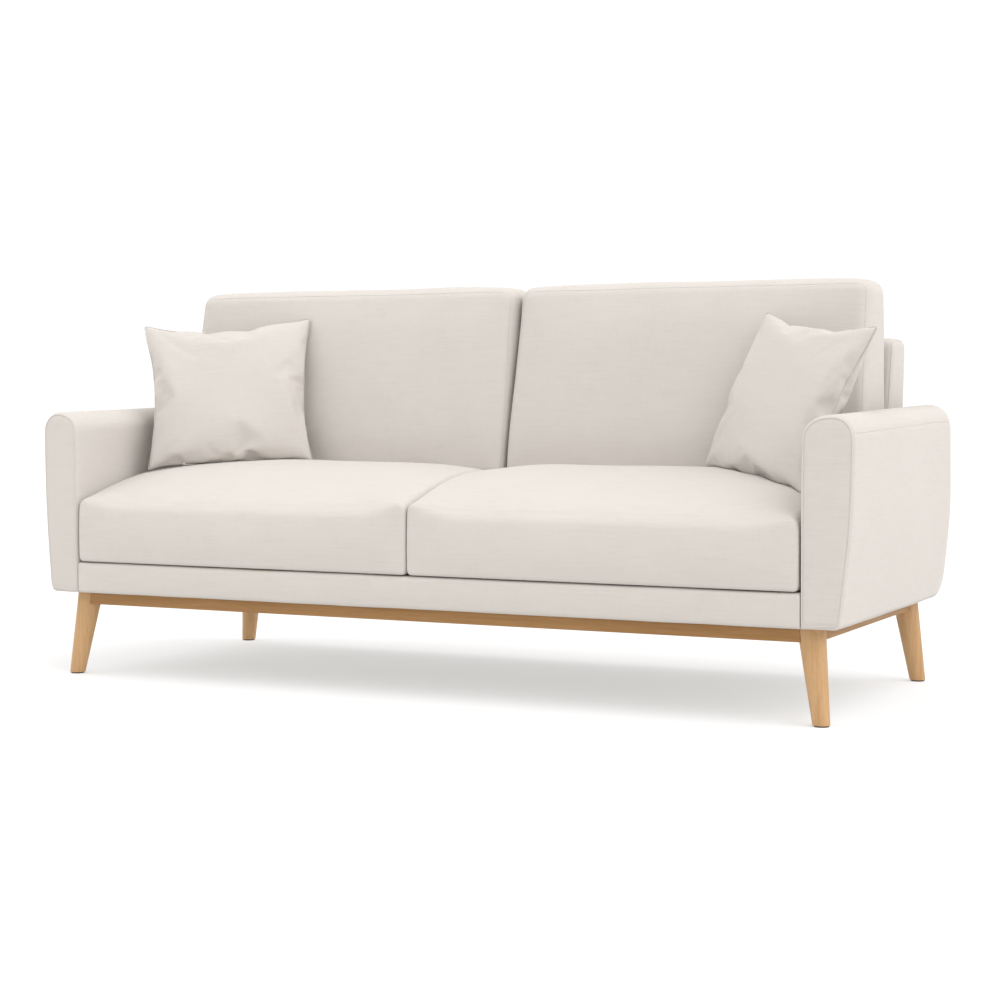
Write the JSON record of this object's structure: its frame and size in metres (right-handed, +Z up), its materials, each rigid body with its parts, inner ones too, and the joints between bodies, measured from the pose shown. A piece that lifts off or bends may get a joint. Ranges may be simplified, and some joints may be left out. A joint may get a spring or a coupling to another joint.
{
  "type": "sofa with wooden legs",
  "caption": "Upholstered sofa in pale woven fabric with loose seat and back cushions, throw pillows, and an oak apron on splayed tapered legs.",
  "frame": {"origin": "on the floor at the middle of the overall width and depth", "axes": "+X to the sitter's left hand, which is the viewer's right from the front, +Y from the front to the back, +Z up"},
  "size_m": [1.9, 0.804, 0.89],
  "materials": {
    "oak": "satin",
    "frame_wood": "matte",
    "steel": "satin",
    "glide": "matte",
    "linen_body": "matte",
    "linen_seat": "matte",
    "linen_back": "matte",
    "linen_pillow": "matte",
    "felt": "matte",
    "underlining": "matte",
    "webbing": "matte",
    "foam": "matte",
    "filling": "matte",
    "zip_metal": "satin",
    "zip_tape": "matte"
  },
  "bodies": {
    "sofa_frame": {"leg_front_left": "oak", "leg_front_right": "oak", "leg_rear_left": "oak", "leg_rear_right": "oak", "leg_bolts": "steel", "leg_glides": "glide", "apron_front": "oak", "apron_rear": "oak", "apron_left": "oak", "apron_right": "oak", "apron_corner_blocks": "frame_wood", "base_screws": "steel", "seat_rail_front": "frame_wood", "seat_rail_rear": "frame_wood", "seat_rail_left": "frame_wood", "seat_rail_right": "frame_wood", "seat_centre_rail": "frame_wood", "seat_corner_blocks": "frame_wood", "seat_springs": "steel", "spring_clips": "steel", "deck_pad": "felt", "deck_cloth": "linen_body", "front_rail_cover": "linen_body", "dust_cover": "underlining", "arm_frame_left": "frame_wood", "arm_frame_right": "frame_wood", "arm_foam_left": "foam", "arm_foam_right": "foam", "arm_cover_left": "linen_body", "arm_cover_right": "linen_body", "back_frame": "frame_wood", "back_webbing": "webbing", "back_foam": "foam", "back_cover": "linen_body", "frame_bolts": "steel"},
    "seat_cushion_left": {"seat_cover_left": "linen_seat", "seat_core_left": "foam", "seat_zip_left": "zip_tape"},
    "seat_zip_slider_left": {"seat_slider_left": "zip_metal"},
    "back_cushion_left": {"back_cushion_cover_left": "linen_back", "back_cushion_core_left": "foam", "back_zip_left": "zip_tape"},
    "back_zip_slider_left": {"back_slider_left": "zip_metal"},
    "throw_pillow_left": {"pillow_cover_left": "linen_pillow", "pillow_insert_left": "filling", "pillow_zip_left": "zip_tape"},
    "pillow_zip_slider_left": {"pillow_slider_left": "zip_metal"},
    "seat_cushion_right": {"seat_cover_right": "linen_seat", "seat_core_right": "foam", "seat_zip_right": "zip_tape"},
    "seat_zip_slider_right": {"seat_slider_right": "zip_metal"},
    "back_cushion_right": {"back_cushion_cover_right": "linen_back", "back_cushion_core_right": "foam", "back_zip_right": "zip_tape"},
    "back_zip_slider_right": {"back_slider_right": "zip_metal"},
    "throw_pillow_right": {"pillow_cover_right": "linen_pillow", "pillow_insert_right": "filling", "pillow_zip_right": "zip_tape"},
    "pillow_zip_slider_right": {"pillow_slider_right": "zip_metal"}
  },
  "joints": [
    {"name": "seat_cushion_left_lift", "type": "slide", "parent": "sofa_frame", "child": "seat_cushion_left", "axis": [0, 0, 1], "range_m": [0, 0.52]},
    {"name": "back_cushion_left_lift", "type": "slide", "parent": "seat_cushion_left", "child": "back_cushion_left", "axis": [0, 0.1733, 0.9849], "range_m": [0, 0.45]},
    {"name": "throw_pillow_left_lift", "type": "slide", "parent": "seat_cushion_left", "child": "throw_pillow_left", "axis": [0, 0, 1], "range_m": [0, 0.4]},
    {"name": "seat_zip_left_run", "type": "slide", "parent": "seat_cushion_left", "child": "seat_zip_slider_left", "axis": [-1, 0, 0], "range_m": [0, 0.57]},
    {"name": "back_zip_left_run", "type": "slide", "parent": "back_cushion_left", "child": "back_zip_slider_left", "axis": [-1, 0, 0], "range_m": [0, 0.57]},
    {"name": "pillow_zip_left_run", "type": "slide", "parent": "throw_pillow_left", "child": "pillow_zip_slider_left", "axis": [0.8817, 0.4693, 0.0492], "range_m": [0, 0.19]},
    {"name": "seat_cushion_right_lift", "type": "slide", "parent": "sofa_frame", "child": "seat_cushion_right", "axis": [0, 0, 1], "range_m": [0, 0.52]},
    {"name": "back_cushion_right_lift", "type": "slide", "parent": "seat_cushion_right", "child": "back_cushion_right", "axis": [0, 0.1733, 0.9849], "range_m": [0, 0.45]},
    {"name": "throw_pillow_right_lift", "type": "slide", "parent": "seat_cushion_right", "child": "throw_pillow_right", "axis": [0, 0, 1], "range_m": [0, 0.4]},
    {"name": "seat_zip_right_run", "type": "slide", "parent": "seat_cushion_right", "child": "seat_zip_slider_right", "axis": [1, 0, 0], "range_m": [0, 0.57]},
    {"name": "back_zip_right_run", "type": "slide", "parent": "back_cushion_right", "child": "back_zip_slider_right", "axis": [1, 0, 0], "range_m": [0, 0.57]},
    {"name": "pillow_zip_right_run", "type": "slide", "parent": "throw_pillow_right", "child": "pillow_zip_slider_right", "axis": [-0.7785, 0.6171, 0.1145], "range_m": [0, 0.19]}
  ]
}
